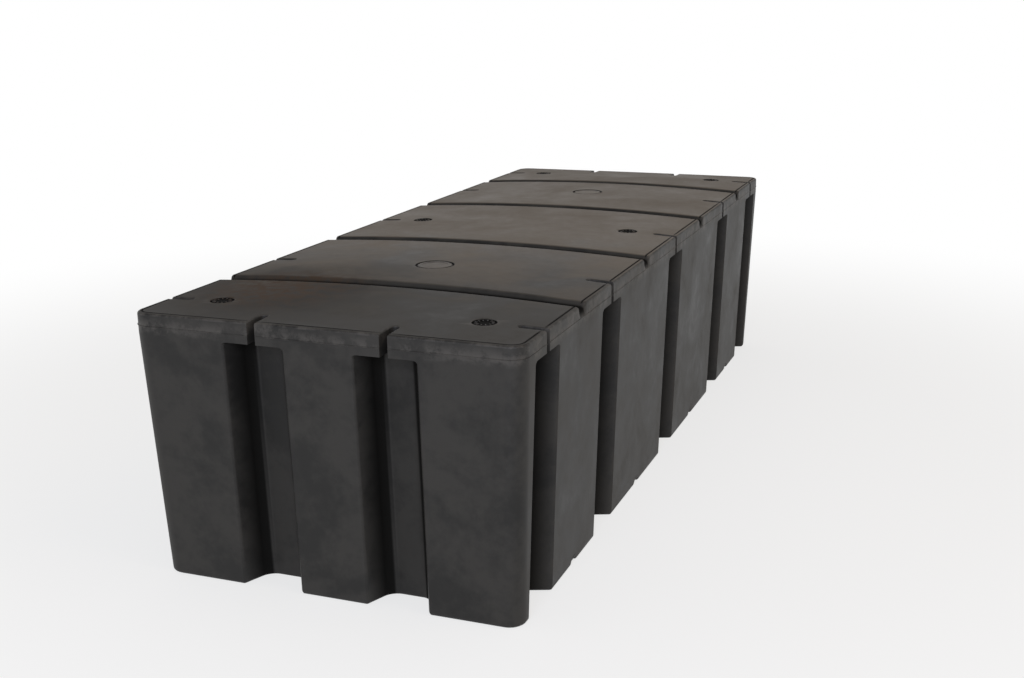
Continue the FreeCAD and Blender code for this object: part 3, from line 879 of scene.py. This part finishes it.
def cooling_patterns(tree, place):
    """Clouds 200 mm across, blotches 25 mm across, and the clouds broken up by them."""
    cloud = add_node(tree, "ShaderNodeTexNoise",
                     {"Scale": per_metre(200), "Detail": 4.0, "Roughness": 0.55,
                      "Distortion": 0.6}, {"Vector": place})
    blotch = add_node(tree, "ShaderNodeTexNoise",
                      {"Scale": per_metre(25), "Detail": 3.0, "Roughness": 0.6},
                      {"Vector": place})
    mixed = add_node(tree, "ShaderNodeMath", {1: 0.35},
                     {0: blotch.outputs["Fac"], 2: cloud.outputs["Fac"]},
                     operation="MULTIPLY_ADD")
    return cloud.outputs["Fac"], blotch.outputs["Fac"], mixed.outputs["Value"]


def cloudy_skin(tree, clouds, skin, pale):
    """The skin's colour, paler where it cooled unevenly."""
    tone = add_node(tree, "ShaderNodeMapRange", {"From Min": 0.50, "From Max": 0.82},
                    {"Value": clouds}, interpolation_type="SMOOTHSTEP")
    return add_node(tree, "ShaderNodeMix", {"A": skin[:], "B": pale[:]},
                    {"Factor": tone.outputs["Result"]}, data_type="RGBA").outputs["Result"]


def paint_edge_highlights(tree, place, under, colours):
    """Edges painted pale in broken stretches a few centimetres long: painted highlights, partly
    wear.
    """
    breaks = add_node(tree, "ShaderNodeTexNoise",
                      {"Scale": per_metre(100 / 3), "Detail": 4.0, "Roughness": 0.7},
                      {"Vector": place})
    broken = add_node(tree, "ShaderNodeMapRange", {"From Min": 0.40, "From Max": 0.62},
                      {"Value": breaks.outputs["Fac"]}, interpolation_type="SMOOTHSTEP")
    edges = add_node(tree, "ShaderNodeAttribute", attribute_name="rubbed")
    edge_highlight = add_node(tree, "ShaderNodeMath", None,
                   {0: edges.outputs["Fac"], 1: broken.outputs["Result"]}, operation="MULTIPLY")
    return add_node(tree, "ShaderNodeMix", {"B": colours.rubbed[:]},
                    {"Factor": edge_highlight.outputs["Value"], "A": under},
                    data_type="RGBA").outputs["Result"]


def level_faces(tree):
    """1 on faces that lie level and hold what settles, 0 on steep ones."""
    face = add_node(tree, "ShaderNodeSeparateXYZ", None,
                    {"Vector": add_node(tree, "ShaderNodeNewGeometry").outputs["Normal"]})
    return add_node(tree, "ShaderNodeMapRange", {"From Min": 0.80, "From Max": 0.97},
                    {"Value": face.outputs["Z"]}).outputs["Result"]


def paint_dust_and_reflection(tree, place, cloud, level, under, colours):
    """Dust on level faces, growing away from the near end, and with it a painted reflection that
    brightens the far deck.
    """
    spot = add_node(tree, "ShaderNodeSeparateXYZ", None, {"Vector": place})
    drift = add_node(tree, "ShaderNodeMath", {1: 1.2}, {0: cloud, 2: spot.outputs["Y"]},
                     operation="MULTIPLY_ADD")
    dust_and_reflection_spread = add_node(tree, "ShaderNodeMapRange",
                     {"From Min": -0.4, "From Max": 0.5, "To Min": 0.1, "To Max": 0.95},
                     {"Value": drift.outputs["Value"]}, interpolation_type="SMOOTHSTEP")
    dust_and_reflection = add_node(tree, "ShaderNodeMath", None, {0: dust_and_reflection_spread.outputs["Result"], 1: level},
                    operation="MULTIPLY")
    return add_node(tree, "ShaderNodeMix", {"B": colours.dust_and_reflection[:]},
                    {"Factor": dust_and_reflection.outputs["Value"], "A": under},
                    data_type="RGBA").outputs["Result"]


def stain_distance(tree, place):
    """Distance from the stain beside the near left plug."""
    return add_node(tree, "ShaderNodeVectorMath", {1: STAIN}, {0: place},
                    operation="DISTANCE").outputs["Value"]


def stain_rusty(tree, apart, blotch, under, colours):
    """A ragged rusty stain."""
    nearby = add_node(tree, "ShaderNodeMapRange",
                      {"From Min": 0.04, "From Max": 0.26, "To Min": 1.0, "To Max": 0.0},
                      {"Value": apart}, interpolation_type="SMOOTHSTEP")
    ragged = add_node(tree, "ShaderNodeMapRange", {"From Min": 0.34, "From Max": 0.58},
                      {"Value": blotch})
    rust = add_node(tree, "ShaderNodeMath", None,
                    {0: nearby.outputs["Result"], 1: ragged.outputs["Result"]},
                    operation="MULTIPLY")
    return add_node(tree, "ShaderNodeMix", {"B": colours.rust[:]},
                    {"Factor": rust.outputs["Value"], "A": under},
                    data_type="RGBA").outputs["Result"]


def skin_gloss(tree, clouds, painted_shade, apart, level, roughness):
    """Roughness: satin that follows the clouds, matt under the painted shade and on the deck
    around the stain, out to the near left corner."""
    satin = add_node(tree, "ShaderNodeMapRange",
                     {"From Min": 0.45, "From Max": 0.9, "To Min": roughness - 0.1,
                      "To Max": roughness + 0.12}, {"Value": clouds})
    around = add_node(tree, "ShaderNodeMapRange",
                      {"From Min": 0.1, "From Max": 0.4, "To Min": 0.7, "To Max": 0.0},
                      {"Value": apart}, interpolation_type="SMOOTHSTEP")
    dull = add_node(tree, "ShaderNodeMath", None, {0: around.outputs["Result"], 1: level},
                    operation="MULTIPLY")
    matt = add_node(tree, "ShaderNodeMath", None, {0: painted_shade, 1: dull.outputs["Value"]},
                    operation="MAXIMUM")
    return add_node(tree, "ShaderNodeMix", {"B": 0.85},
                    {"Factor": matt.outputs["Value"], "A": satin.outputs["Result"]}
                    ).outputs["Result"]


def skin_relief(tree, place, wave):
    """Shallow waves 125 mm long and as high as given in mm, then a grain of 2 mm from
    the mould's face, coarser than real so that it shows."""
    waves = add_node(tree, "ShaderNodeTexNoise",
                     {"Scale": per_metre(125), "Detail": 1.5, "Roughness": 0.4},
                     {"Vector": place})
    grain = add_node(tree, "ShaderNodeTexNoise",
                     {"Scale": per_metre(2), "Detail": 2.0, "Roughness": 0.5},
                     {"Vector": place})
    broad = add_node(tree, "ShaderNodeBump", {"Strength": 1.0, "Distance": wave * MM},
                     {"Height": waves.outputs["Fac"]})
    return add_node(tree, "ShaderNodeBump", {"Strength": 1.0, "Distance": 0.02 * MM},
                    {"Height": grain.outputs["Fac"], "Normal": broad.outputs["Normal"]}
                    ).outputs["Normal"]


def moulded_polyethylene(name, skin, pale, roughness, wave, colours):
    """Black polyethylene, rotationally moulded: a satin skin that follows the mould's sand-cast
    face, with edges painted pale as highlights and some wear, dust and a painted reflection on
    the far deck, a rusty stain, and painted shade as a dark film in the hollows."""
    material, tree, shader = new_material(name)
    place = add_node(tree, "ShaderNodeTexCoord").outputs["Object"]
    painted_shade = add_node(tree, "ShaderNodeAttribute", attribute_name="grime").outputs["Fac"]
    cloud, blotch, clouds = cooling_patterns(tree, place)
    level = level_faces(tree)
    apart = stain_distance(tree, place)
    colour = cloudy_skin(tree, clouds, skin, pale)
    colour = paint_edge_highlights(tree, place, colour, colours)
    colour = paint_dust_and_reflection(tree, place, cloud, level, colour, colours)
    colour = stain_rusty(tree, apart, blotch, colour, colours)
    # Painted shade: a near-black colour and less specular reflection where the shade share is
    # painted
    painted_shade_mix = add_node(tree, "ShaderNodeMix", {"B": colours.painted_shade[:]},
                      {"Factor": painted_shade, "A": colour}, data_type="RGBA")
    sheen = add_node(tree, "ShaderNodeMix", {"A": 0.36, "B": 0.12}, {"Factor": painted_shade})
    gloss = skin_gloss(tree, clouds, painted_shade, apart, level, roughness)
    tree.links.new(painted_shade_mix.outputs["Result"], shader.inputs["Base Color"])
    tree.links.new(sheen.outputs["Result"], shader.inputs["Specular IOR Level"])
    tree.links.new(gloss, shader.inputs["Roughness"])
    tree.links.new(skin_relief(tree, place, wave), shader.inputs["Normal"])
    shader.inputs["IOR"].default_value = 1.5
    return material


def finish_piece(piece, material, slot, *nodes):
    piece.data.materials.clear()
    piece.data.materials.append(material)
    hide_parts(*nodes)
    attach(piece, "root")


# Stage


def area_light(name, place, target, size, power, colour):
    data = bpy.data.lights.new(name, "AREA")
    data.shape = "RECTANGLE"
    data.size, data.size_y = size
    data.energy = power
    data.color = linear(colour)[:3]
    light = bpy.data.objects.new(name, data)
    bpy.context.scene.collection.objects.link(light)
    light.location = place
    aim = Vector(target) - Vector(place)
    light.rotation_euler = aim.to_track_quat("-Z", "Y").to_euler()


def photo_camera():
    """Stands where the photograph was taken, as near as one camera comes to it."""
    data = bpy.data.cameras.new("camera")
    camera = bpy.data.objects.new("camera", data)
    bpy.context.scene.collection.objects.link(camera)
    camera.location = (1.3016, -3.4728, 1.2871)
    camera.rotation_euler = [math.radians(angle) for angle in (73.9488, 0.631, 20.7181)]
    data.sensor_width = 36
    data.lens = 45.524
    data.shift_x = -0.00393
    data.shift_y = 0.02107
    data.clip_end = 100
    bpy.context.scene.camera = camera


def sees_background(tree):
    """1 for the rays that look at the background: camera, glossy and transmission."""
    path = add_node(tree, "ShaderNodeLightPath")
    shiny = add_node(tree, "ShaderNodeMath", None,
                     {0: path.outputs["Is Glossy Ray"], 1: path.outputs["Is Transmission Ray"]},
                     operation="MAXIMUM")
    seen = add_node(tree, "ShaderNodeMath", None,
                    {0: path.outputs["Is Camera Ray"], 1: shiny.outputs["Value"]},
                    operation="MAXIMUM")
    return seen.outputs["Value"]


def studio_world():
    """A white backdrop that dims overhead, for camera and reflections, and soft
    light elsewhere."""
    world = bpy.data.worlds.new("studio_world")
    bpy.context.scene.world = world
    world.use_nodes = True
    tree = world.node_tree
    tree.nodes.clear()
    output = add_node(tree, "ShaderNodeOutputWorld")
    soft = add_node(tree, "ShaderNodeBackground", {"Color": linear("#F6F4F0"), "Strength": 0.45})
    way = add_node(tree, "ShaderNodeTexCoord").outputs["Generated"]
    up = add_node(tree, "ShaderNodeSeparateXYZ", None, {"Vector": way})
    # The backdrop is white up to about 6 degrees and dims until 30
    dim = add_node(tree, "ShaderNodeMapRange",
                   {"From Min": 0.1, "From Max": 0.5, "To Min": 1.0, "To Max": 0.35},
                   {"Value": up.outputs["Z"]}, interpolation_type="SMOOTHSTEP")
    white = add_node(tree, "ShaderNodeBackground", {"Color": (1, 1, 1, 1)},
                     {"Strength": dim.outputs["Result"]})
    mix = add_node(tree, "ShaderNodeMixShader", None,
                   {0: sees_background(tree), 1: soft.outputs["Background"],
                    2: white.outputs["Background"]})
    tree.links.new(mix.outputs["Shader"], output.inputs["Surface"])


def pale_floor():
    """White paper: it keeps the drum's soft shadow, and melts into the white
    background a few metres away."""
    bpy.ops.mesh.primitive_plane_add(size=60)
    floor = new_piece("floor")
    material, tree, shader = new_material("white_studio_paper")
    shader.inputs["Base Color"].default_value = linear("#F7F7F7")
    shader.inputs["Roughness"].default_value = 0.9
    shader.inputs["Specular IOR Level"].default_value = 0.1
    place = add_node(tree, "ShaderNodeTexCoord").outputs["Object"]
    away = add_node(tree, "ShaderNodeVectorMath", None, {0: place}, operation="LENGTH")
    fade = add_node(tree, "ShaderNodeMapRange",
                    {"From Min": 1.2, "From Max": 3.6, "To Min": 0.7, "To Max": 1.0},
                    {"Value": away.outputs["Value"]}, interpolation_type="SMOOTHSTEP")
    share = add_node(tree, "ShaderNodeMath", None,
                     {0: fade.outputs["Result"], 1: sees_background(tree)}, operation="MULTIPLY")
    white = add_node(tree, "ShaderNodeEmission", {"Color": (1, 1, 1, 1), "Strength": 1.0})
    mix = add_node(tree, "ShaderNodeMixShader", None,
                   {0: share.outputs["Value"], 1: shader.outputs["BSDF"],
                    2: white.outputs["Emission"]})
    output = next(node for node in tree.nodes if node.type == "OUTPUT_MATERIAL")
    tree.links.new(mix.outputs["Shader"], output.inputs["Surface"])
    floor.data.materials.append(material)


# Operators


class DRUM_OT_shell(bpy.types.Operator):
    """Models the drum's moulding and gives it its finish"""
    bl_idname = "drum.shell"
    bl_label = "Drum shell"

    def execute(self, context):
        sizes = context.scene.drum_sizes
        flutes = context.scene.drum_flutes
        grooves = context.scene.drum_grooves
        recesses = context.scene.drum_recesses
        colours = context.scene.drum_colours
        shell = start_block(sizes)
        raise_rib(shell, sizes)
        line_deck(shell, sizes, grooves)
        press_grooves(shell, sizes, grooves)
        round_rim(shell, sizes)
        line_foot(shell, sizes, grooves)
        subtract(shell, place_around(flute_tool(sizes, flutes), sizes, "flute_tools"))
        subtract(shell, place_around(slot_tool(sizes, flutes), sizes, "slot_tools"))
        round_foot(shell, sizes, grooves)
        raise_crown(shell, sizes)
        cut_recesses(shell, sizes, recesses)
        spots = recess_spots()
        # Pale paint for painted highlights and wear on the edges, then painted shade in the
        # hollows
        paint(shell, "rubbed", lambda point: rubbed(point, sizes, flutes, recesses, spots))
        paint(shell, "grime",
              lambda point: painted_shade_at(point, sizes, flutes, grooves, recesses, spots))
        smooth(shell)
        material = moulded_polyethylene("moulded_polyethylene", colours.skin, colours.skin_pale,
                                        roughness=0.55, wave=3.5, colours=colours)
        finish_piece(shell, material, "black_polyethylene", "drum_shell")
        return {"FINISHED"}


class DRUM_OT_plugs(bpy.types.Operator):
    """Models the large and small welded plugs"""
    bl_idname = "drum.plugs"
    bl_label = "Plugs"

    def execute(self, context):
        colours = context.scene.drum_colours
        material = moulded_polyethylene("plug_polyethylene", colours.plug, colours.plug_pale,
                                        roughness=0.46, wave=0.1, colours=colours)
        for node in PLUG_NODES:
            plug = plug_piece(node)
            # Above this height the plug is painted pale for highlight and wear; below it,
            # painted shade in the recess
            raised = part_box(node)[1][2] - plug_sizes(node).highlight_depth
            paint(plug, "rubbed", lambda point: float(point.z > raised))
            paint(plug, "grime", lambda point: float(point.z < raised))
            smooth(plug)
            finish_piece(plug, material, "black_plug_polyethylene", node)
        return {"FINISHED"}


class DRUM_OT_stage(bpy.types.Operator):
    """Sets the backdrop, floor, lights and camera"""
    bl_idname = "drum.stage"
    bl_label = "Stage"

    def execute(self, context):
        rest_in_object_mode()
        studio_world()
        pale_floor()
        area_light("key_light", place=(4.5, -1.2, 5.2), target=(0.0, 0.2, 0.4),
                   size=(3.5, 3.0), power=50, colour="#FFDDB8")
        area_light("front_fill", place=(1.2, -5.5, 2.4), target=(0.2, -0.9, 0.4),
                   size=(2.5, 2.0), power=115, colour="#E2EAFF")
        photo_camera()
        context.scene.view_settings.view_transform = "Standard"
        return {"FINISHED"}


class DRUM_PT_panel(bpy.types.Panel):
    """Buttons for each step"""
    bl_idname = "DRUM_PT_panel"
    bl_label = "Float Drum"
    bl_space_type = "VIEW_3D"
    bl_region_type = "UI"
    bl_category = "Float Drum"

    def draw(self, context):
        column = self.layout.column()
        for step in STEPS:
            column.operator(step.bl_idname)


STEPS = (DRUM_OT_shell, DRUM_OT_plugs, DRUM_OT_stage)
GROUPS = (
    ("drum_sizes", DrumSizes),
    ("drum_flutes", FluteSizes),
    ("drum_grooves", GrooveSizes),
    ("drum_recesses", RecessSizes),
    ("drum_large_plugs", LargePlugSizes),
    ("drum_small_plugs", SmallPlugSizes),
    ("drum_colours", DrumColours),
)


def register():
    for name, group in GROUPS:
        bpy.utils.register_class(group)
        setattr(bpy.types.Scene, name, bpy.props.PointerProperty(type=group))
    for step in STEPS:
        bpy.utils.register_class(step)
    bpy.utils.register_class(DRUM_PT_panel)


def unregister():
    bpy.utils.unregister_class(DRUM_PT_panel)
    for step in reversed(STEPS):
        bpy.utils.unregister_class(step)
    for name, group in reversed(GROUPS):
        delattr(bpy.types.Scene, name)
        bpy.utils.unregister_class(group)


def main():
    register()
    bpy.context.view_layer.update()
    bpy.ops.drum.shell()
    bpy.ops.drum.plugs()
    bpy.ops.drum.stage()


if __name__ == "__main__":
    main()
